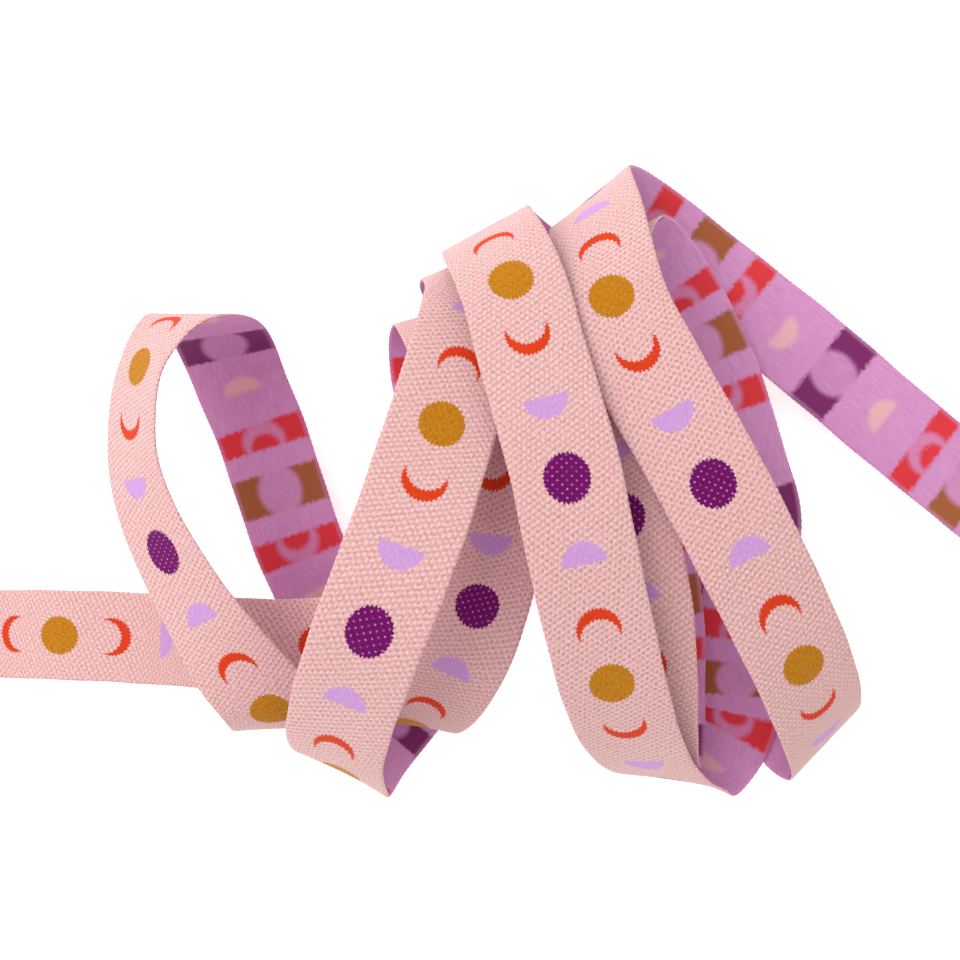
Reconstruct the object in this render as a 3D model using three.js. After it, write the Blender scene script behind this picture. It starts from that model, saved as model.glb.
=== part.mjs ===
// A length of narrow jacquard ribbon, dropped on a table in about six loose turns.
// It is one woven strip from end to end. Millimetres, +Z up, the table at z = 0.
// The turns lie on their side like a slack spring whose axis runs along X. Each turn
// has a high front stretch, a foot bend at low Y, a back stretch near the table and
// a head bend at high Y.

import * as THREE from "three";

// Driving dimensions
const RIBBON_WIDTH = 16;
const RIBBON_THICKNESS = 1;
const STEP = 3.2;

// The route is sampled this finely, and then evened out, before the steps are placed.
const FINE_STEP = 1;
const EVENING_PASSES = 12;
const SAMPLES_PER_ROW = 12;

const RIBBON_COLOUR = 0xecc4be;
const RIBBON_ROUGHNESS = 0.78;

// The middle of the ribbon's thickness, a row for each place chosen by hand.
// x, y, z: the middle line. across: the direction of the width in plan, in degrees
// from +X. tilt: how far that side of the width is raised, in degrees.
const COLUMNS = ["x", "y", "z", "across", "tilt"];

const STRETCHES = {
  rightTail: [
    [101.4, -11.2, 0.5, 50, 0],
    [95.9, -6.6, 0.7, 50, 0],
    [87.8, -1.1, 4.4, 50, 0],
    [74.3, 8.8, 8.9, 50, 0],
    [61.9, 18.8, 10.9, 50, 0],
    [49.9, 28.4, 11.4, 50, 0],
    [37.8, 38.0, 11.4, 48, 0],
  ],
  firstHead: [
    [27.7, 44.6, 14.4, 44, 0],
    [20.8, 46.7, 20.9, 41, 0],
    [17.9, 45.7, 29.9, 39, 0],
    [17.4, 41.4, 38.9, 38, 0],
    [18.0, 34.7, 45.9, 36, 0],
  ],
  firstFront: [
    [19.2, 27.0, 50.4, 33, 0],
    [26.0, 13.0, 52.9, 29, 0],
    [33.7, -0.4, 52.9, 28, 0],
    [41.3, -14.4, 49.9, 30, 0],
    [49.3, -28.4, 42.9, 35, 0],
  ],
  firstFoot: [
    [54.3, -37.7, 33.9, 41, 0],
    [57.4, -43.4, 23.9, 46, 0],
    [58.4, -46.3, 12.9, 47, 0],
    [57.2, -46.0, 5.2, 45, 0],
  ],
  firstBack: [
    [54.4, -42.0, 1.6, 37, 0],
    [50.8, -31.0, 0.5, 29, 0],
    [45.6, -16.0, 0.5, 25, 0],
    [40.0, -0.5, 0.5, 26, 0],
    [30.2, 16.8, 0.9, 31, 0],
    [20.2, 27.6, 3.0, 32, 0],
  ],
  secondHead: [
    [10.6, 36.2, 8.4, 31, 0],
    [4.0, 40.2, 15.9, 30, 0],
    [1.3, 41.2, 24.9, 29, 0],
    [1.0, 39.7, 33.9, 28, 0],
    [2.1, 35.9, 42.4, 25, 0],
  ],
  secondFront: [
    [4.6, 29.7, 48.9, 20, -3],
    [8.6, 14.3, 54.9, 15, -4],
    [12.3, 0.6, 56.9, 14, -2],
    [15.5, -14.3, 54.9, 9, 0],
    [19.6, -30.3, 47.9, 1, 0],
  ],
  secondFoot: [
    [23.7, -40.8, 37.9, -5, 0],
    [27.6, -46.9, 27.9, -7, 0],
    [32.3, -50.8, 18.4, -8, 0],
    [37.7, -51.6, 10.4, -9, 0],
  ],
  secondBack: [
    [42.1, -48.4, 7.0, -15, 0],
    [45.6, -43.3, 5.6, -14, 0],
    [46.3, -36.2, 4.6, -15, 0],
    [47.1, -26.1, 4.6, -17, 0],
    [49.0, -16.6, 5.4, -8, 0],
    [48.7, -6.0, 10.5, 12, 0],
    [45.5, 1.8, 14.2, 17, 0],
    [42.9, 9.5, 16.2, 20, 0],
    [37.6, 22.9, 17.4, 21, 0],
  ],
  thirdHead: [
    [30.7, 34.0, 19.9, 20, 0],
    [24.5, 39.2, 24.9, 17, 0],
    [20.2, 39.1, 32.2, 13, 0],
    [17.6, 34.3, 39.4, 11, 0],
  ],
  thirdFront: [
    [17.9, 26.0, 44.6, 11, 0],
    [18.6, 11.8, 48.4, 12, 0],
    [21.0, -5.2, 48.9, 11, 0],
    [24.3, -21.1, 44.9, 5, 0],
    [26.0, -34.2, 38.2, -2, 0],
  ],
  thirdFoot: [
    [27.2, -43.0, 29.9, -6, 0],
    [28.8, -47.3, 21.9, -7, 0],
    [30.4, -47.9, 14.9, -7, 0],
    [31.8, -45.8, 10.2, -5, 0],
  ],
  thirdBack: [
    [32.1, -38.8, 7.6, -1, 0],
    [32.3, -28.5, 6.9, 3, 0],
    [31.4, -18.7, 6.9, 8, 0],
    [28.3, -3.6, 5.9, 19, 0],
    [21.6, 12.2, 5.2, 30, 0],
    [12.5, 23.8, 7.2, 34, 0],
  ],
  fourthHead: [
    [3.6, 30.0, 11.2, 33, 0],
    [-1.6, 33.5, 17.0, 31, 0],
    [-3.0, 35.7, 25.9, 28, 0],
    [-1.8, 34.6, 33.9, 19, 0],
    [-0.4, 28.9, 42.9, 2, -4],
    [-2.3, 19.1, 49.9, -16, -6],
  ],
  fourthFront: [
    [-5.5, 8.0, 54.9, -20, -4],
    [-9.7, -6.2, 61.4, -20, 0],
    [-15.4, -21.1, 60.9, -19, 0],
    [-19.9, -33.4, 52.4, -23, 0],
  ],
  fourthFoot: [
    [-22.4, -42.2, 41.4, -27, -8],
    [-22.1, -47.0, 30.4, -29, -16],
    [-21.6, -49.2, 17.9, -36, -8],
    [-19.9, -47.7, 7.2, -40, 0],
  ],
  fourthBack: [
    [-16.3, -43.6, 2.5, -42, 0],
    [-12.4, -39.1, 1.1, -41, 0],
    [-8.1, -33.3, 0.7, -37, 0],
    [-4.0, -26.7, 0.7, -31, 0],
    [-0.7, -19.5, 3.4, -23, 0],
    [1.6, -11.9, 11.9, -14, 0],
    [1.9, -4.7, 19.9, -3, 0],
    [-0.2, 2.4, 19.9, 8, 0],
    [-4.0, 9.4, 15.0, 13, 0],
    [-7.2, 15.8, 12.6, 13, 0],
  ],
  fifthHead: [
    [-7.9, 22.2, 14.6, 14, 0],
    [-7.6, 26.2, 19.0, 16, 0],
    [-6.7, 28.0, 25.9, 17, 0],
    [-4.5, 24.1, 33.9, 13, 0],
  ],
  fifthFront: [
    [-0.9, 15.4, 39.9, 5, 0],
    [1.7, 4.6, 42.9, 0, 0],
    [1.8, -7.6, 42.9, -7, 0],
    [-0.3, -19.0, 40.9, -16, 0],
    [-4.2, -29.5, 35.9, -22, 0],
  ],
  fifthFoot: [
    [-8.4, -36.7, 28.9, -18, 0],
    [-11.8, -40.9, 20.9, -10, 0],
    [-14.1, -41.7, 13.4, -4, 0],
    [-16.6, -39.2, 9.4, 3, 0],
  ],
  fifthBack: [
    [-20.1, -35.0, 6.2, 10, 0],
    [-24.1, -28.7, 5.4, 14, 0],
    [-28.6, -20.0, 6.4, 17, 0],
    [-32.0, -12.4, 7.6, 18, 0],
    [-35.4, -1.8, 8.6, 17, 0],
    [-38.4, 7.9, 10.0, 15, 0],
  ],
  sixthHead: [
    [-41.8, 17.3, 14.0, 15, 0],
    [-42.9, 22.5, 20.0, 12, 0],
    [-43.9, 25.4, 27.0, 3, 6],
    [-46.0, 26.5, 34.0, -4, 15],
  ],
  sixthFront: [
    [-49.0, 24.6, 38.0, 7, 30],
    [-52.7, 18.0, 39.0, 27, 42],
    [-54.3, 8.5, 38.5, 33, 45],
    [-53.5, -0.9, 38.0, 32, 45],
    [-49.1, -11.9, 37.5, 30, 40],
    [-42.9, -22.6, 36.5, 27, 31],
    [-38.6, -29.4, 35.0, 25, 17],
  ],
  sixthFoot: [
    [-33.6, -36.9, 31.0, 17, 6],
    [-32.9, -40.3, 26.0, 9, 4],
    [-32.9, -41.9, 20.5, -2, 2],
    [-32.6, -40.0, 15.9, -20, 0],
  ],
  sixthBack: [
    [-29.8, -36.2, 14.2, -37, 0],
    [-23.9, -31.2, 12.6, -50, 0],
    [-17.6, -28.3, 10.8, -57, 0],
  ],
  turnBack: [
    [-13.0, -25.9, 11.4, -62, 0],
    [-10.3, -24.6, 15.9, -65, 0],
    [-10.9, -24.4, 21.9, -68, 0],
    [-14.8, -25.3, 25.4, -72, 0],
    [-21.5, -26.8, 24.9, -78, 0],
  ],
  leftTail: [
    [-30.2, -27.9, 21.4, -85, 0],
    [-41.6, -28.2, 16.9, -90, 0],
    [-57.4, -27.6, 12.9, -90, 0],
    [-74.5, -27.5, 8.9, -90, 0],
    [-83.6, -27.7, 4.9, -90, 0],
    [-92.1, -27.9, 1.4, -90, 0],
    [-98.0, -28.0, 0.5, -90, 0],
    [-103.5, -27.9, 0.5, -90, 0],
  ],
};

function readRow(values) {
  return Object.fromEntries(COLUMNS.map((name, column) => [name, values[column]]));
}

function acrossVector(row) {
  const turn = THREE.MathUtils.degToRad(row.across);
  const tilt = THREE.MathUtils.degToRad(row.tilt);
  const level = Math.cos(tilt);
  return new THREE.Vector3(Math.cos(turn) * level, Math.sin(turn) * level, Math.sin(tilt));
}

// Smooth curves through the rows, of the middle line and of the width's direction
function sampleRows(rows) {
  const middle = new THREE.CatmullRomCurve3(
    rows.map((row) => new THREE.Vector3(row.x, row.y, row.z)), false, "centripetal");
  const across = new THREE.CatmullRomCurve3(rows.map(acrossVector), false, "catmullrom");
  const count = (rows.length - 1) * SAMPLES_PER_ROW;
  return Array.from({ length: count + 1 }, (_, i) => ({
    middle: middle.getPoint(i / count),
    across: across.getPoint(i / count),
  }));
}

// The same line again at even distances along the ribbon
function resample(line, step) {
  const along = [0];
  for (let i = 1; i < line.length; i += 1) {
    along.push(along[i - 1] + line[i].middle.distanceTo(line[i - 1].middle));
  }
  const length = along[along.length - 1];
  const count = Math.round(length / step);
  const result = [];
  let from = 0;
  for (let i = 0; i <= count; i += 1) {
    const place = (length * i) / count;
    while (from < line.length - 2 && along[from + 1] < place) {
      from += 1;
    }
    const share = (place - along[from]) / (along[from + 1] - along[from]);
    result.push({
      middle: line[from].middle.clone().lerp(line[from + 1].middle, share),
      across: line[from].across.clone().lerp(line[from + 1].across, share),
    });
  }
  return result;
}

// One pass moves each point halfway to the middle of its neighbours.
function evenOut(line) {
  return line.map((point, i) => {
    if (i === 0 || i === line.length - 1) {
      return point;
    }
    const blend = (name) => line[i - 1][name].clone().add(line[i + 1][name]).multiplyScalar(0.5)
      .lerp(point[name], 0.5);
    return { middle: blend("middle"), across: blend("across") };
  });
}

// The four corners of the ribbon's section at each place along the line
function sectionRings(line) {
  return line.map((point, i) => {
    const before = line[Math.max(i - 1, 0)].middle;
    const after = line[Math.min(i + 1, line.length - 1)].middle;
    const forward = after.clone().sub(before).normalize();
    const across = point.across.clone().addScaledVector(forward, -point.across.dot(forward))
      .normalize().multiplyScalar(RIBBON_WIDTH / 2);
    const face = forward.clone().cross(across).normalize().multiplyScalar(RIBBON_THICKNESS / 2);
    const corner = (side, layer) => point.middle.clone()
      .addScaledVector(across, side).addScaledVector(face, layer);
    return [corner(-1, -1), corner(1, -1), corner(1, 1), corner(-1, 1)];
  });
}

// A closed strip through the rings, with a cut end at each end
function stripGeometry(rings) {
  const positions = [];
  const faces = [];
  for (const ring of rings) {
    for (const corner of ring) {
      positions.push(corner.x, corner.y, corner.z);
    }
  }
  for (let i = 0; i < rings.length - 1; i += 1) {
    for (let side = 0; side < 4; side += 1) {
      const next = (side + 1) % 4;
      const a = i * 4 + side;
      const b = i * 4 + next;
      const c = (i + 1) * 4 + next;
      const d = (i + 1) * 4 + side;
      faces.push(a, b, c, a, c, d);
    }
  }
  const last = (rings.length - 1) * 4;
  faces.push(0, 2, 1, 0, 3, 2);
  faces.push(last, last + 1, last + 2, last, last + 2, last + 3);
  const geometry = new THREE.BufferGeometry();
  geometry.setAttribute("position", new THREE.Float32BufferAttribute(positions, 3));
  geometry.setIndex(faces);
  geometry.computeVertexNormals();
  return geometry;
}

// The whole route. The table stops any part that would dip below it.
function ribbonLine() {
  const rows = Object.values(STRETCHES).flat().map(readRow);
  let line = resample(sampleRows(rows), FINE_STEP);
  for (const point of line) {
    point.middle.z = Math.max(point.middle.z, RIBBON_THICKNESS / 2);
  }
  for (let pass = 0; pass < EVENING_PASSES; pass += 1) {
    line = evenOut(line);
  }
  return resample(line, STEP);
}

const ribbon = new THREE.Mesh(
  stripGeometry(sectionRings(ribbonLine())),
  new THREE.MeshStandardMaterial({
    color: RIBBON_COLOUR,
    roughness: RIBBON_ROUGHNESS,
    metalness: 0,
  }),
);
ribbon.name = "ribbon";

// The origin is under the middle of the whole part, on the table.
ribbon.geometry.computeBoundingBox();
const middle = ribbon.geometry.boundingBox.getCenter(new THREE.Vector3());
ribbon.geometry.translate(-middle.x, -middle.y, 0);

const group = new THREE.Group();
group.add(ribbon);

export default group;
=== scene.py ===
# A length of narrow jacquard ribbon, dropped on a table in loose turns, seen from above.
# Lengths are in millimetres until the last step, which turns them into metres.

import math

import bpy
import numpy as np
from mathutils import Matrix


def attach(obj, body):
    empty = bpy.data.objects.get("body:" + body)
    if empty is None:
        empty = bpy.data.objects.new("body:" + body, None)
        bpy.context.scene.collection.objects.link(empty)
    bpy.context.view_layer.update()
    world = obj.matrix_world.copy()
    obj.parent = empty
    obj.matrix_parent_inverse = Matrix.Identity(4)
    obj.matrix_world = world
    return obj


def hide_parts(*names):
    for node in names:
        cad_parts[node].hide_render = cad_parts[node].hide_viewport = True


MM = 0.001

# The ribbon
WIDTH = 16.0
THICKNESS = 0.5
CAD_HALF_THICKNESS = 0.5

# How finely the route is sampled and evened out, and the step of the finished mesh
SAMPLES_PER_ROW = 12
FINE_STEP = 1.0
EVENING_PASSES = 12
MESH_STEP = 0.25

# The selvedge is drawn in a little between the turns of the weft.
SELVEDGE_PITCH = 1.05
SELVEDGE_DEPTH = 0.08

# The camera looks straight down. Its picture is FRAME pixels wide.
CAMERA_HEIGHT = 250.0
FOCAL_PIXELS = 1362.0
FRAME_PIXELS = 960.0
SENSOR = 36.0

# The woven repeat, in mm along the ribbon from the middle of a mustard disc. It is
# the same on both sides of that disc, as far as the middle of the plum disc.
FIRST_MUSTARD = 10.6
HALF_REPEAT = 31.2
DISC_RADIUS = 3.38
DISC_STRETCH = 1.05
CRESCENT_OUTER = (9.3, 3.3)
CRESCENT_INNER = (7.95, 2.95)
HALF_DISC = (19.15, 3.28)

# On the back a figure is a gap in its rows of colour, wider than the figure itself.
BACK_DISC = 3.8
BACK_DISC_STRETCH = 1.16
BACK_CRESCENT_OUTER = (9.3, 3.75)
BACK_CRESCENT_INNER = (8.1, 2.55)

# The floats of the ground weave: cycles a mm along and across, and the share of each
GROUND_WAVES = ((1.17, 0.52, 0.50), (0.82, -0.88, 0.34), (0.36, 1.40, 0.22))
# The threads at a figure's edge end in teeth, this far apart
TEETH_PITCH = 0.6

# How softly a figure's edge fades on the front, and on the back
FRONT_EDGE = 0.07
BACK_EDGE = 0.70

# The binding points in the discs: cycles a mm along and across
BINDING_WAVES = ((0.97, 0.524), (0.66, -0.892))

# The share of the light that goes into the cloth, and how far it gets there in red,
# green and blue, as a multiple of the thickness
THROUGH_SHARE = 0.30
THROUGH_REACH = (1.6, 0.45, 0.5)

# Colours as the eye sees them, 0 to 255
# The ground's two pinks: the lighter is a painted highlight on the float tops, the darker painted
# shade in the gaps between floats
PINK_FLOAT_HIGHLIGHT = (226, 187, 184)
PINK_GAP_SHADE = (176, 130, 129)
LILAC_MOTIF = (190, 146, 196)
LILAC_STREAK = (174, 130, 184)
ORANGE = (192, 52, 14)
ORANGE_POINT = (204, 88, 46)
MUSTARD = (178, 118, 14)
MUSTARD_STREAK = (154, 94, 8)
MUSTARD_POINT = (196, 140, 50)
PLUM = (104, 4, 90)
PLUM_STREAK = (88, 2, 76)
PLUM_POINT = (206, 118, 188)
BACK_LILAC = (202, 148, 191)
BACK_LILAC_STREAK = (188, 124, 172)
BACK_PINK = (214, 168, 168)
BACK_ORANGE = (204, 36, 34)
BACK_MUSTARD = (152, 82, 18)
BACK_PLUM = (108, 4, 84)
FLOOR = (252, 252, 252)

# The table is lit to pure white. A faint glow of its own keeps it so by the ribbon.
FLOOR_GLOW = 0.45

# The light: the sky all round, then each lamp's place in metres, its size and its power
SKY_STRENGTH = 0.78
LAMPS = {
    "key": {"place": (-0.55, 0.35, 1.0), "size": 0.9, "power": 12.5},
    "fill": {"place": (0.7, -0.5, 0.9), "size": 1.0, "power": 1.0},
}

# The middle of the ribbon's thickness, a row for each place chosen, with the
# same values as the part's source. x, y, z: the middle line. across: the direction of
# the width in plan, in degrees from +X. tilt: how far that side of the width is raised.
# woven: the length of the weave there, from a place near the right tail, where the
# pattern shows. It is None in the hidden stretches.
COLUMNS = ("x", "y", "z", "across", "tilt", "woven")

STRETCHES = {
    "right_tail": [
        (101.4, -11.2, 0.5, 50, 0, -7.5),
        (95.9, -6.6, 0.7, 50, 0, -0.5),
        (87.8, -1.1, 4.4, 50, 0, 10.5),
        (74.3, 8.8, 8.9, 50, 0, 26.5),
        (61.9, 18.8, 10.9, 50, 0, 42.0),
        (49.9, 28.4, 11.4, 50, 0, 57.0),
        (37.8, 38.0, 11.4, 48, 0, 73.0),
    ],
    "first_head": [
        (27.7, 44.6, 14.4, 44, 0, 85.5),
        (20.8, 46.7, 20.9, 41, 0, 96.0),
        (17.9, 45.7, 29.9, 39, 0, 105.0),
        (17.4, 41.4, 38.9, 38, 0, 115.5),
        (18.0, 34.7, 45.9, 36, 0, 126.0),
    ],
    "first_front": [
        (19.2, 27.0, 50.4, 33, 0, 135.5),
        (26.0, 13.0, 52.9, 29, 0, 151.5),
        (33.7, -0.4, 52.9, 28, 0, 166.5),
        (41.3, -14.4, 49.9, 30, 0, 182.0),
        (49.3, -28.4, 42.9, 35, 0, 198.0),
    ],
    "first_foot": [
        (54.3, -37.7, 33.9, 41, 0, 211.5),
        (57.4, -43.4, 23.9, 46, 0, 223.5),
        (58.4, -46.3, 12.9, 47, 0, 235.0),
        (57.2, -46.0, 5.2, 45, 0, 243.0),
    ],
    "first_back": [
        (54.4, -42.0, 1.6, 37, 0, None),
        (50.8, -31.0, 0.5, 29, 0, None),
        (45.6, -16.0, 0.5, 25, 0, None),
        (40.0, -0.5, 0.5, 26, 0, None),
        (30.2, 16.8, 0.9, 31, 0, None),
        (20.2, 27.6, 3.0, 32, 0, None),
    ],
    "second_head": [
        (10.6, 36.2, 8.4, 31, 0, None),
        (4.0, 40.2, 15.9, 30, 0, None),
        (1.3, 41.2, 24.9, 29, 0, None),
        (1.0, 39.7, 33.9, 28, 0, 366.0),
        (2.1, 35.9, 42.4, 25, 0, 376.0),
    ],
    "second_front": [
        (4.6, 29.7, 48.9, 20, -3, 385.0),
        (8.6, 14.3, 54.9, 15, -4, 401.5),
        (12.3, 0.6, 56.9, 14, -2, 416.0),
        (15.5, -14.3, 54.9, 9, 0, 430.5),
        (19.6, -30.3, 47.9, 1, 0, 447.5),
    ],
    "second_foot": [
        (23.7, -40.8, 37.9, -5, 0, 461.5),
        (27.6, -46.9, 27.9, -7, 0, 469.5),
        (32.3, -50.8, 18.4, -8, 0, 477.0),
        (37.7, -51.6, 10.4, -9, 0, 485.0),
    ],
    "second_back": [
        (42.1, -48.4, 7.0, -15, 0, 492.5),
        (45.6, -43.3, 5.6, -14, 0, 500.0),
        (46.3, -36.2, 4.6, -15, 0, 510.0),
        (47.1, -26.1, 4.6, -17, 0, 520.5),
        (49.0, -16.6, 5.4, -8, 0, 530.0),
        (48.7, -6.0, 10.5, 12, 0, 541.0),
        (45.5, 1.8, 14.2, 17, 0, 549.5),
        (42.9, 9.5, 16.2, 20, 0, 558.0),
        (37.6, 22.9, 17.4, 21, 0, 572.0),
    ],
    "third_head": [
        (30.7, 34.0, 19.9, 20, 0, 588.0),
        (24.5, 39.2, 24.9, 17, 0, None),
        (20.2, 39.1, 32.2, 13, 0, None),
        (17.6, 34.3, 39.4, 11, 0, 617.5),
    ],
    "third_front": [
        (17.9, 26.0, 44.6, 11, 0, 628.5),
        (18.6, 11.8, 48.4, 12, 0, 646.5),
        (21.0, -5.2, 48.9, 11, 0, 666.0),
        (24.3, -21.1, 44.9, 5, 0, 680.5),
        (26.0, -34.2, 38.2, -2, 0, 693.5),
    ],
    "third_foot": [
        (27.2, -43.0, 29.9, -6, 0, 704.5),
        (28.8, -47.3, 21.9, -7, 0, 713.5),
        (30.4, -47.9, 14.9, -7, 0, 721.0),
        (31.8, -45.8, 10.2, -5, 0, 727.5),
    ],
    "third_back": [
        (32.1, -38.8, 7.6, -1, 0, 737.5),
        (32.3, -28.5, 6.9, 3, 0, 751.5),
        (31.4, -18.7, 6.9, 8, 0, 762.0),
        (28.3, -3.6, 5.9, 19, 0, 778.0),
        (21.6, 12.2, 5.2, 30, 0, None),
        (12.5, 23.8, 7.2, 34, 0, None),
    ],
    "fourth_head": [
        (3.6, 30.0, 11.2, 33, 0, None),
        (-1.6, 33.5, 17.0, 31, 0, None),
        (-3.0, 35.7, 25.9, 28, 0, 840.0),
        (-1.8, 34.6, 33.9, 19, 0, 848.5),
        (-0.4, 28.9, 42.9, 2, -4, 859.5),
        (-2.3, 19.1, 49.9, -16, -6, 872.0),
    ],
    "fourth_front": [
        (-5.5, 8.0, 54.9, -20, -4, 884.0),
        (-9.7, -6.2, 61.4, -20, 0, 900.5),
        (-15.4, -21.1, 60.9, -19, 0, 915.5),
        (-19.9, -33.4, 52.4, -23, 0, 928.5),
    ],
    "fourth_foot": [
        (-22.4, -42.2, 41.4, -27, -8, 939.5),
        (-22.1, -47.0, 30.4, -29, -16, 948.0),
        (-21.6, -49.2, 17.9, -36, -8, 957.0),
        (-19.9, -47.7, 7.2, -40, 0, 966.5),
    ],
    "fourth_back": [
        (-16.3, -43.6, 2.5, -42, 0, 978.0),
        (-12.4, -39.1, 1.1, -41, 0, None),
        (-8.1, -33.3, 0.7, -37, 0, None),
        (-4.0, -26.7, 0.7, -31, 0, None),
        (-0.7, -19.5, 3.4, -23, 0, None),
        (1.6, -11.9, 11.9, -14, 0, None),
        (1.9, -4.7, 19.9, -3, 0, None),
        (-0.2, 2.4, 19.9, 8, 0, 1056.5),
        (-4.0, 9.4, 15.0, 13, 0, 1068.0),
        (-7.2, 15.8, 12.6, 13, 0, 1077.0),
    ],
    "fifth_head": [
        (-7.9, 22.2, 14.6, 14, 0, 1084.0),
        (-7.6, 26.2, 19.0, 16, 0, 1092.0),
        (-6.7, 28.0, 25.9, 17, 0, 1101.0),
        (-4.5, 24.1, 33.9, 13, 0, 1113.5),
    ],
    "fifth_front": [
        (-0.9, 15.4, 39.9, 5, 0, 1127.5),
        (1.7, 4.6, 42.9, 0, 0, 1140.5),
        (1.8, -7.6, 42.9, -7, 0, 1152.0),
        (-0.3, -19.0, 40.9, -16, 0, 1165.0),
        (-4.2, -29.5, 35.9, -22, 0, 1175.5),
    ],
    "fifth_foot": [
        (-8.4, -36.7, 28.9, -18, 0, 1186.0),
        (-11.8, -40.9, 20.9, -10, 0, 1195.5),
        (-14.1, -41.7, 13.4, -4, 0, 1204.0),
        (-16.6, -39.2, 9.4, 3, 0, 1210.5),
    ],
    "fifth_back": [
        (-20.1, -35.0, 6.2, 10, 0, 1218.5),
        (-24.1, -28.7, 5.4, 14, 0, 1228.5),
        (-28.6, -20.0, 6.4, 17, 0, 1238.5),
        (-32.0, -12.4, 7.6, 18, 0, 1248.0),
        (-35.4, -1.8, 8.6, 17, 0, 1258.5),
        (-38.4, 7.9, 10.0, 15, 0, 1269.0),
    ],
    "sixth_head": [
        (-41.8, 17.3, 14.0, 15, 0, 1280.0),
        (-42.9, 22.5, 20.0, 12, 0, 1289.0),
        (-43.9, 25.4, 27.0, 3, 6, 1297.0),
        (-46.0, 26.5, 34.0, -4, 15, 1304.5),
    ],
    "sixth_front": [
        (-49.0, 24.6, 38.0, 7, 30, 1311.0),
        (-52.7, 18.0, 39.0, 27, 42, 1321.0),
        (-54.3, 8.5, 38.5, 33, 45, 1331.0),
        (-53.5, -0.9, 38.0, 32, 45, 1341.5),
        (-49.1, -11.9, 37.5, 30, 40, 1353.0),
        (-42.9, -22.6, 36.5, 27, 31, 1364.5),
        (-38.6, -29.4, 35.0, 25, 17, 1373.5),
    ],
    "sixth_foot": [
        (-33.6, -36.9, 31.0, 17, 6, 1383.0),
        (-32.9, -40.3, 26.0, 9, 4, 1388.5),
        (-32.9, -41.9, 20.5, -2, 2, 1395.0),
        (-32.6, -40.0, 15.9, -20, 0, 1401.0),
    ],
    "sixth_back": [
        (-29.8, -36.2, 14.2, -37, 0, None),
        (-23.9, -31.2, 12.6, -50, 0, None),
        (-17.6, -28.3, 10.8, -57, 0, None),
    ],
    "turn_back": [
        (-13.0, -25.9, 11.4, -62, 0, None),
        (-10.3, -24.6, 15.9, -65, 0, None),
        (-10.9, -24.4, 21.9, -68, 0, 1436.5),
        (-14.8, -25.3, 25.4, -72, 0, 1442.0),
        (-21.5, -26.8, 24.9, -78, 0, 1450.0),
    ],
    "left_tail": [
        (-30.2, -27.9, 21.4, -85, 0, 1458.5),
        (-41.6, -28.2, 16.9, -90, 0, 1466.5),
        (-57.4, -27.6, 12.9, -90, 0, 1492.5),
        (-74.5, -27.5, 8.9, -90, 0, 1508.0),
        (-83.6, -27.7, 4.9, -90, 0, 1517.5),
        (-92.1, -27.9, 1.4, -90, 0, 1527.5),
        (-98.0, -28.0, 0.5, -90, 0, 1533.5),
        (-103.5, -27.9, 0.5, -90, 0, 1538.5),
    ],
}


def linear(colour):
    """An eye colour, 0 to 255, as linear RGBA."""
    values = []
    for channel in colour:
        share = channel / 255
        if share <= 0.04045:
            values.append(share / 12.92)
        else:
            values.append(((share + 0.055) / 1.055) ** 2.4)
    return (*values, 1.0)


# The route

def read_rows():
    rows = []
    for stretch in STRETCHES.values():
        for values in stretch:
            rows.append(dict(zip(COLUMNS, values)))
    return rows


def across_vector(row):
    turn = math.radians(row["across"])
    tilt = math.radians(row["tilt"])
    level = math.cos(tilt)
    return (math.cos(turn) * level, math.sin(turn) * level, math.sin(tilt))


def curve_through(points, knots):
    """Smooth curve through the points, SAMPLES_PER_ROW samples from one to the next."""
    gaps = np.diff(knots)
    slopes = np.diff(points, axis=0) / gaps[:, None]
    tangents = np.empty_like(points)
    tangents[0] = slopes[0]
    tangents[-1] = slopes[-1]
    weight = gaps[:-1] + gaps[1:]
    tangents[1:-1] = (slopes[:-1] * gaps[1:, None] + slopes[1:] * gaps[:-1, None]) / weight[:, None]
    samples = []
    for i in range(len(points) - 1):
        for k in range(SAMPLES_PER_ROW):
            t = k / SAMPLES_PER_ROW
            start = (2 * t**3 - 3 * t**2 + 1) * points[i]
            start_slope = (t**3 - 2 * t**2 + t) * gaps[i] * tangents[i]
            end = (3 * t**2 - 2 * t**3) * points[i + 1]
            end_slope = (t**3 - t**2) * gaps[i] * tangents[i + 1]
            samples.append(start + start_slope + end + end_slope)
    samples.append(points[-1])
    return np.array(samples)


def arc_lengths(middle):
    steps = np.linalg.norm(np.diff(middle, axis=0), axis=1)
    return np.concatenate([[0.0], np.cumsum(steps)])


def resample(line, step):
    """The same line at even distances along the ribbon."""
    along = arc_lengths(line["middle"])
    count = round(along[-1] / step)
    places = np.linspace(0.0, along[-1], count + 1)
    result = {}
    for name, values in line.items():
        columns = [np.interp(places, along, values[:, k]) for k in range(values.shape[1])]
        result[name] = np.stack(columns, axis=1)
    return result


def even_out(values):
    values = values.copy()
    values[1:-1] = 0.25 * values[:-2] + 0.5 * values[1:-1] + 0.25 * values[2:]
    return values


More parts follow.
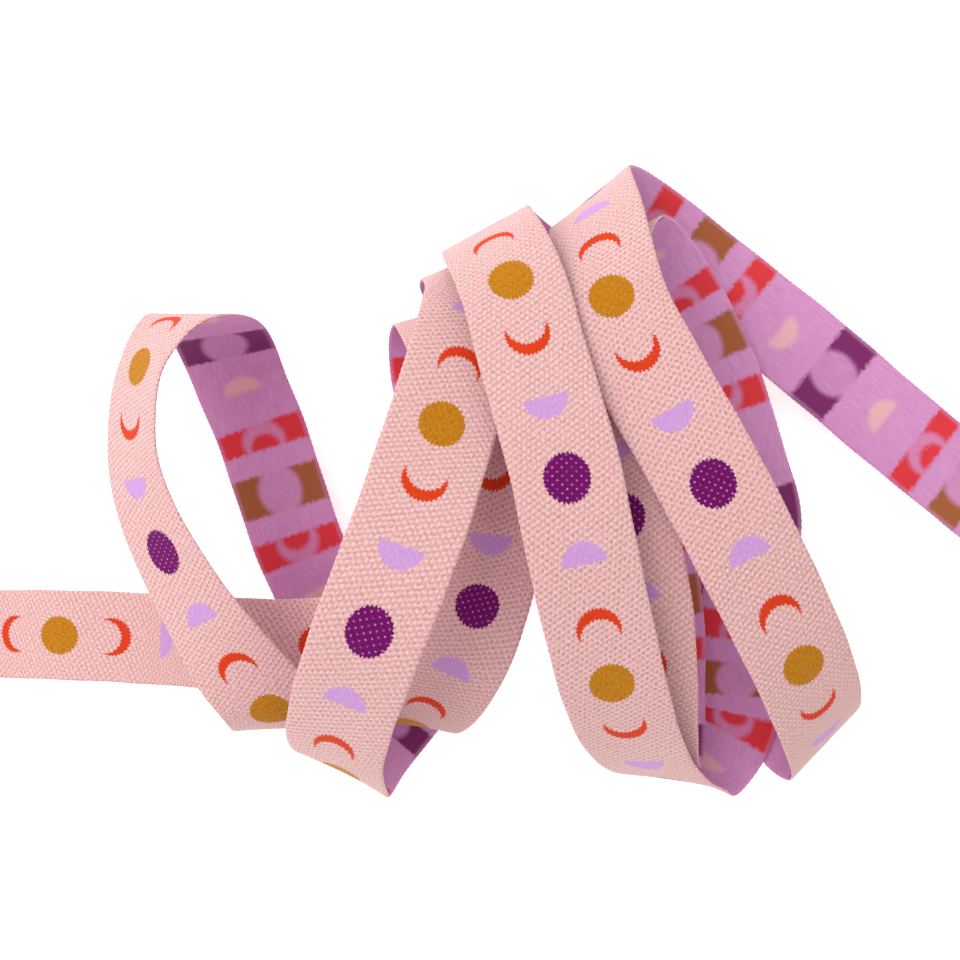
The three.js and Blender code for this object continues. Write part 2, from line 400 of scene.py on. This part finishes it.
def ribbon_line():
    """Middle, across, face and woven length at each step of the finished mesh."""
    rows = read_rows()
    points = np.array([(row["x"], row["y"], row["z"]) for row in rows])
    acrosses = np.array([across_vector(row) for row in rows])
    chords = np.linalg.norm(np.diff(points, axis=0), axis=1)
    knots = np.concatenate([[0.0], np.cumsum(np.sqrt(chords))])
    even = np.arange(len(rows), dtype=float)
    line = {
        "middle": curve_through(points, knots),
        "across": curve_through(acrosses, even),
        "row": np.arange((len(rows) - 1) * SAMPLES_PER_ROW + 1)[:, None] / SAMPLES_PER_ROW,
    }
    line = resample(line, FINE_STEP)
    line["middle"][:, 2] = np.maximum(line["middle"][:, 2], CAD_HALF_THICKNESS)
    for _ in range(EVENING_PASSES):
        line["middle"] = even_out(line["middle"])
        line["across"] = even_out(line["across"])
    along = arc_lengths(line["middle"])
    marked = [i for i, row in enumerate(rows) if row["woven"] is not None]
    places = np.interp(marked, line["row"][:, 0], along)
    woven = [rows[i]["woven"] for i in marked]
    line["woven"] = np.interp(along, places, woven)[:, None]
    for _ in range(EVENING_PASSES):
        line["woven"] = even_out(line["woven"])
    line = resample(line, MESH_STEP)
    middle = line["middle"]
    middle[:, 2] -= CAD_HALF_THICKNESS - THICKNESS / 2
    forward = np.gradient(middle, axis=0)
    forward /= np.linalg.norm(forward, axis=1)[:, None]
    across = line["across"]
    across = across - (across * forward).sum(axis=1)[:, None] * forward
    across /= np.linalg.norm(across, axis=1)[:, None]
    face = np.cross(forward, across)
    return {"middle": middle, "across": across, "face": face, "woven": line["woven"][:, 0]}


# The mesh

def section():
    """The outline of the ribbon's section, from the left selvedge over the front and
    back under the ribbon: place across, 0 to 1 on each side, and height in mm."""
    half = THICKNESS / 2
    top = [(-1.0, 0.0), (-0.985, 0.75 * half), (-0.93, half), (-0.5, half), (0.0, half)]
    top += [(0.5, half), (0.93, half), (0.985, 0.75 * half), (1.0, 0.0)]
    under = [(place, -height) for place, height in top[-2:0:-1]]
    return top, under


def ribbon_mesh(line, shift):
    top, under = section()
    outline = np.array(top + under)
    count = len(line["middle"])
    around = len(outline)
    along = np.arange(count) * MESH_STEP
    wave = 0.5 - 0.5 * np.cos(2 * math.pi * along / SELVEDGE_PITCH)
    wander = 0.05 * np.sin(along / 5.3) + 0.04 * np.sin(along / 2.1 + 1.0)
    half_left = WIDTH / 2 - SELVEDGE_DEPTH * wave + wander
    half_right = WIDTH / 2 - SELVEDGE_DEPTH * np.roll(wave, 2) - wander
    place = outline[:, 0]
    half = np.where(place[None] < 0, half_left[:, None], half_right[:, None])
    across = place[None] * half
    points = line["middle"][:, None] + across[..., None] * line["across"][:, None]
    points = points + outline[None, :, 1, None] * line["face"][:, None]
    points = (points + np.array(shift)) * MM
    first = np.arange(count - 1)[:, None] * around
    side = np.arange(around)[None]
    after = (side + 1) % around
    corners_of_quad = [first + side, first + around + side, first + around + after, first + after]
    quads = np.stack(corners_of_quad, axis=-1).reshape(-1, 4)
    start_cap = list(range(around))
    end_cap = [(count - 1) * around + k for k in range(around)][::-1]
    mesh = bpy.data.meshes.new("ribbon_cloth")
    mesh.from_pydata(points.reshape(-1, 3).tolist(), [], quads.tolist() + [start_cap, end_cap])
    weave = mesh.uv_layers.new(name="weave")
    woven = np.repeat(line["woven"][:, None], around, axis=1).reshape(-1) / 100
    wide = across.reshape(-1) / 100
    corners = np.empty(len(mesh.loops), dtype=np.int32)
    mesh.loops.foreach_get("vertex_index", corners)
    uv = np.stack([woven[corners], wide[corners]], axis=1).astype(np.float32)
    weave.data.foreach_set("uv", uv.reshape(-1))
    is_back = np.tile(np.arange(around) >= len(top) - 1, count - 1)
    index = np.concatenate([is_back.astype(np.int32), np.zeros(2, dtype=np.int32)])
    mesh.polygons.foreach_set("material_index", index)
    mesh.polygons.foreach_set("use_smooth", np.ones(len(mesh.polygons), dtype=bool))
    mesh.update()
    return mesh


# Materials

class Weave:
    """A material's nodes, with short ways to write its sums."""

    def __init__(self, name):
        self.material = bpy.data.materials.new(name)
        self.material.use_nodes = True
        self.tree = self.material.node_tree
        self.shader = self.tree.nodes["Principled BSDF"]

    def node(self, kind, **settings):
        made = self.tree.nodes.new(kind)
        for name, value in settings.items():
            setattr(made, name, value)
        return made

    def feed(self, socket, value):
        if hasattr(value, "is_linked"):
            self.tree.links.new(value, socket)
        else:
            socket.default_value = value

    def math(self, operation, *values):
        made = self.node("ShaderNodeMath", operation=operation)
        for socket, value in zip(made.inputs, values):
            self.feed(socket, value)
        return made.outputs[0]

    def add(self, a, b):
        return self.math("ADD", a, b)

    def sub(self, a, b):
        return self.math("SUBTRACT", a, b)

    def mul(self, a, b):
        return self.math("MULTIPLY", a, b)

    def wave(self, along, across, rate_along, rate_across):
        turn_along = self.mul(along, 2 * math.pi * rate_along)
        turn_across = self.mul(across, 2 * math.pi * rate_across)
        return self.math("COSINE", self.add(turn_along, turn_across))

    def below(self, value, limit, soft):
        """1 where the value is under the limit, 0 where it is over it."""
        made = self.node("ShaderNodeMapRange", interpolation_type="SMOOTHSTEP")
        self.feed(made.inputs["Value"], value)
        made.inputs["From Min"].default_value = limit - soft
        made.inputs["From Max"].default_value = limit + soft
        made.inputs["To Min"].default_value = 1.0
        made.inputs["To Max"].default_value = 0.0
        return made.outputs["Result"]

    def scaled(self, value, low, high, to_low, to_high):
        made = self.node("ShaderNodeMapRange")
        self.feed(made.inputs["Value"], value)
        made.inputs["From Min"].default_value = low
        made.inputs["From Max"].default_value = high
        made.inputs["To Min"].default_value = to_low
        made.inputs["To Max"].default_value = to_high
        return made.outputs["Result"]

    def distance(self, along, across, centre, stretch=1.0):
        """Distance from a point on the ribbon's middle line."""
        gap = self.mul(self.sub(along, centre), 1 / stretch)
        squares = self.add(self.mul(gap, gap), self.mul(across, across))
        return self.math("SQRT", squares)

    def blend(self, share, under, over):
        made = self.node("ShaderNodeMix", data_type="RGBA")
        self.feed(made.inputs[0], share)
        self.feed(made.inputs[6], under)
        self.feed(made.inputs[7], over)
        return made.outputs[2]

    def noise(self, along, across, rate_along, rate_across, detail=2.0):
        place = self.node("ShaderNodeCombineXYZ")
        self.feed(place.inputs[0], self.mul(along, rate_along))
        self.feed(place.inputs[1], self.mul(across, rate_across))
        made = self.node("ShaderNodeTexNoise")
        made.inputs["Scale"].default_value = 1.0
        made.inputs["Detail"].default_value = detail
        self.tree.links.new(place.outputs[0], made.inputs["Vector"])
        return made.outputs[0]

    def woven_place(self):
        """mm along the weave and mm across the ribbon."""
        layer = self.node("ShaderNodeUVMap", uv_map="weave")
        split = self.node("ShaderNodeSeparateXYZ")
        self.tree.links.new(layer.outputs[0], split.inputs[0])
        return self.mul(split.outputs[0], 100), self.mul(split.outputs[1], 100)

    def cloth(self, shine, fuzz):
        """Shine and fuzz, and the light that comes through the thin cloth, mostly red."""
        inputs = self.shader.inputs
        inputs["Specular IOR Level"].default_value = shine
        inputs["Sheen Weight"].default_value = fuzz
        inputs["Sheen Roughness"].default_value = 0.5
        inputs["Subsurface Weight"].default_value = THROUGH_SHARE
        inputs["Subsurface Radius"].default_value = THROUGH_REACH
        inputs["Subsurface Scale"].default_value = THICKNESS * MM

    def bump(self, height, distance, strength):
        made = self.node("ShaderNodeBump")
        made.inputs["Strength"].default_value = strength
        made.inputs["Distance"].default_value = distance
        self.tree.links.new(height, made.inputs["Height"])
        self.tree.links.new(made.outputs[0], self.shader.inputs["Normal"])


def motif_shapes(weave, along, across, soft, disc, stretch, outer_ring, inner_ring):
    """How far each figure covers a place: crescents, half-discs, mustard, plum. Also
    the distance from the nearest mustard disc along the ribbon."""
    from_mustard = weave.math("PINGPONG", weave.sub(along, FIRST_MUSTARD), HALF_REPEAT)
    mustard = weave.below(weave.distance(from_mustard, across, 0.0, stretch), disc, soft)
    plum = weave.below(weave.distance(from_mustard, across, HALF_REPEAT, stretch), disc, soft)
    outer = weave.below(weave.distance(from_mustard, across, outer_ring[0]), outer_ring[1], soft)
    inner = weave.below(weave.distance(from_mustard, across, inner_ring[0]), inner_ring[1], soft)
    crescent = weave.mul(outer, weave.sub(1.0, inner))
    whole = weave.below(weave.distance(from_mustard, across, HALF_DISC[0]), HALF_DISC[1], soft)
    half = weave.mul(whole, weave.sub(1.0, weave.below(from_mustard, HALF_DISC[0], soft)))
    return {"mustard": mustard, "plum": plum, "crescent": crescent, "half": half, "from": from_mustard}


def front_material():
    weave = Weave("ribbon_front")
    along, across = weave.woven_place()

    # The threads at a figure's edge end in fine teeth.
    teeth_across = weave.math("PINGPONG", weave.mul(across, 1 / TEETH_PITCH), 0.5)
    teeth_along = weave.math("PINGPONG", weave.mul(along, 1 / TEETH_PITCH), 0.5)
    jagged_along = weave.add(along, weave.mul(weave.sub(teeth_across, 0.25), 0.75))
    jagged_across = weave.add(across, weave.mul(weave.sub(teeth_along, 0.25), 0.55))
    figure = motif_shapes(
        weave, jagged_along, jagged_across, FRONT_EDGE,
        DISC_RADIUS, DISC_STRETCH, CRESCENT_OUTER, CRESCENT_INNER,
    )

    # The ground: short floats in slanting rows, a little uneven. The rows are the weave's own; its
    # colour follows their height, painted highlight on the float tops and painted shade in the gaps
    drift = weave.noise(along, across, 0.9, 0.9)
    uneven = weave.noise(along, across, 2.3, 2.9, 3.0)
    bent_along = weave.add(along, weave.mul(weave.sub(drift, 0.5), 0.6))
    floats = None
    for rate_along, rate_across, share in GROUND_WAVES:
        wave = weave.mul(weave.wave(bent_along, across, rate_along, rate_across), share)
        floats = wave if floats is None else weave.add(floats, wave)
    ground_height = weave.add(weave.mul(floats, 0.85), weave.mul(weave.sub(uneven, 0.5), 3.2))
    # Lighter where the floats stand high: the share of painted highlight, the rest painted shade in
    # the gaps
    float_highlight_share = weave.scaled(ground_height, -1.15, 1.15, 0.0, 1.0)
    colour = weave.blend(float_highlight_share, linear(PINK_GAP_SHADE), linear(PINK_FLOAT_HIGHLIGHT))

    # The binding points in the discs
    first = weave.wave(along, across, *BINDING_WAVES[0])
    second = weave.wave(along, across, *BINDING_WAVES[1])
    points = weave.add(first, second)
    point = weave.sub(1.0, weave.below(points, 1.5, 0.4))
    caught = weave.scaled(weave.noise(along, across, 1.6, 1.6), 0.38, 0.6, 0.25, 1.0)
    point = weave.mul(point, caught)
    streaks = weave.noise(along, across, 1.3, 6.0, 3.0)

    lilac_share = weave.scaled(streaks, 0.35, 0.65, 0.0, 1.0)
    lilac = weave.blend(lilac_share, linear(LILAC_STREAK), linear(LILAC_MOTIF))
    colour = weave.blend(figure["half"], colour, lilac)
    orange = weave.blend(weave.mul(point, 0.4), linear(ORANGE), linear(ORANGE_POINT))
    colour = weave.blend(figure["crescent"], colour, orange)
    streak_share = weave.scaled(streaks, 0.38, 0.6, 0.0, 1.0)
    mustard = weave.blend(streak_share, linear(MUSTARD_STREAK), linear(MUSTARD))
    mustard = weave.blend(weave.mul(point, 0.5), mustard, linear(MUSTARD_POINT))
    colour = weave.blend(figure["mustard"], colour, mustard)
    plum = weave.blend(streak_share, linear(PLUM_STREAK), linear(PLUM))
    plum = weave.blend(weave.mul(point, 0.8), plum, linear(PLUM_POINT))
    colour = weave.blend(figure["plum"], colour, plum)

    covered = weave.math("MAXIMUM", figure["half"], figure["crescent"])
    covered = weave.math("MAXIMUM", covered, figure["mustard"])
    covered = weave.math("MAXIMUM", covered, figure["plum"])
    inside = weave.add(weave.mul(points, 0.18), weave.mul(streaks, 0.3))
    bare = weave.sub(1.0, covered)
    height = weave.add(weave.mul(ground_height, bare), weave.mul(inside, covered))
    weave.bump(height, 0.00012, 0.6)

    weave.feed(weave.shader.inputs["Base Color"], colour)
    weave.shader.inputs["Roughness"].default_value = 0.75
    weave.cloth(0.10, 0.03)
    return weave.material


def back_material():
    weave = Weave("ribbon_back")
    along, across = weave.woven_place()
    wobble = weave.noise(along, across, 1.3, 1.3, 3.0)
    loose_along = weave.add(along, weave.mul(weave.sub(wobble, 0.5), 1.4))
    figure = motif_shapes(
        weave, loose_along, across, BACK_EDGE,
        BACK_DISC, BACK_DISC_STRETCH, BACK_CRESCENT_OUTER, BACK_CRESCENT_INNER,
    )
    reach = figure["from"]
    streaks = weave.noise(along, across, 0.35, 9.0, 3.0)
    picks = weave.wave(along, across, 2.6, 0.0)
    shade = weave.scaled(streaks, 0.36, 0.64, 0.0, 1.0)
    lilac = weave.blend(shade, linear(BACK_LILAC_STREAK), linear(BACK_LILAC))

    # The threads of a figure lie on the back beside it, over the ribbon's whole width.
    side = weave.math("ABSOLUTE", across)
    inner_side = weave.below(side, 7.35, 0.45)
    strength = weave.add(0.45, weave.mul(inner_side, 0.5))
    crescent_rows = weave.mul(
        weave.below(reach, CRESCENT_OUTER[0] + CRESCENT_OUTER[1], 0.45),
        weave.sub(1.0, weave.below(reach, CRESCENT_INNER[0] - 0.1, 0.45)),
    )
    mustard_rows = weave.below(reach, DISC_RADIUS * DISC_STRETCH, 0.45)
    plum_rows = weave.sub(1.0, weave.below(reach, HALF_REPEAT - DISC_RADIUS * DISC_STRETCH, 0.45))
    colour = lilac
    rows = (
        (crescent_rows, figure["crescent"], BACK_ORANGE, 0.24),
        (mustard_rows, figure["mustard"], BACK_MUSTARD, 0.10),
        (plum_rows, figure["plum"], BACK_PLUM, 0.14),
    )
    for band, shape, tone, stain in rows:
        bare = weave.sub(1.0, weave.mul(shape, 1.0 - stain))
        share = weave.mul(weave.mul(band, bare), strength)
        colour = weave.blend(share, colour, linear(tone))
    colour = weave.blend(weave.mul(figure["half"], 0.85), colour, linear(BACK_PINK))

    height = weave.add(weave.mul(streaks, 0.8), weave.mul(picks, 0.12))
    weave.bump(height, 0.00008, 0.5)
    weave.feed(weave.shader.inputs["Base Color"], colour)
    weave.shader.inputs["Roughness"].default_value = 0.6
    weave.cloth(0.2, 0.05)
    return weave.material


# The room

def make_floor(shift):
    bpy.ops.mesh.primitive_plane_add(size=3.0, location=(shift[0] * MM, shift[1] * MM, 0.0))
    floor = bpy.context.object
    floor.name = "floor"
    material = bpy.data.materials.new("floor")
    material.use_nodes = True
    shader = material.node_tree.nodes["Principled BSDF"]
    shader.inputs["Base Color"].default_value = linear(FLOOR)
    shader.inputs["Roughness"].default_value = 0.9
    shader.inputs["Specular IOR Level"].default_value = 0.1
    shader.inputs["Emission Color"].default_value = (1.0, 1.0, 1.0, 1.0)
    shader.inputs["Emission Strength"].default_value = FLOOR_GLOW
    floor.data.materials.append(material)
    return floor


def make_light(name, place, size, power):
    light = bpy.data.lights.new(name, "AREA")
    light.shape = "SQUARE"
    light.size = size
    light.energy = power
    lamp = bpy.data.objects.new(name, light)
    lamp.location = place
    lamp.rotation_euler = lamp.location.to_track_quat("Z", "Y").to_euler()
    bpy.context.collection.objects.link(lamp)


def make_world():
    world = bpy.data.worlds.new("studio")
    world.use_nodes = True
    background = world.node_tree.nodes["Background"]
    background.inputs["Color"].default_value = (1.0, 1.0, 1.0, 1.0)
    background.inputs["Strength"].default_value = SKY_STRENGTH
    bpy.context.scene.world = world


def make_camera(shift):
    data = bpy.data.cameras.new("camera")
    data.sensor_width = SENSOR
    data.lens = FOCAL_PIXELS / FRAME_PIXELS * SENSOR
    data.clip_start = 0.01
    data.clip_end = 20.0
    camera = bpy.data.objects.new("camera", data)
    camera.location = (shift[0] * MM, shift[1] * MM, CAMERA_HEIGHT * MM)
    bpy.context.collection.objects.link(camera)
    bpy.context.scene.camera = camera


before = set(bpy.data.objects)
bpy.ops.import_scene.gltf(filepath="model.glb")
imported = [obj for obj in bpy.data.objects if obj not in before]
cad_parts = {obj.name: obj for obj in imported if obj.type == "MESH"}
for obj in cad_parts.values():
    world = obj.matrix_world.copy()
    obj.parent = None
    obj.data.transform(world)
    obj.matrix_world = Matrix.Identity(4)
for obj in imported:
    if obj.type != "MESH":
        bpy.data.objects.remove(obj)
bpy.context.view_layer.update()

line = ribbon_line()
edges = [line["middle"] + side * WIDTH / 2 * line["across"] for side in (-1, 1)]
low = np.minimum(edges[0].min(axis=0), edges[1].min(axis=0))
high = np.maximum(edges[0].max(axis=0), edges[1].max(axis=0))
shift = (-(low[0] + high[0]) / 2, -(low[1] + high[1]) / 2, 0.0)

cloth = bpy.data.objects.new("ribbon_cloth", ribbon_mesh(line, shift))
bpy.context.collection.objects.link(cloth)
cloth.data.materials.append(front_material())
cloth.data.materials.append(back_material())
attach(cloth, "root")
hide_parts("ribbon")

make_floor(shift)
make_world()
for lamp_name, lamp in LAMPS.items():
    make_light(lamp_name, lamp["place"], lamp["size"], lamp["power"])
make_camera(shift)
bpy.context.scene.view_settings.view_transform = "Standard"
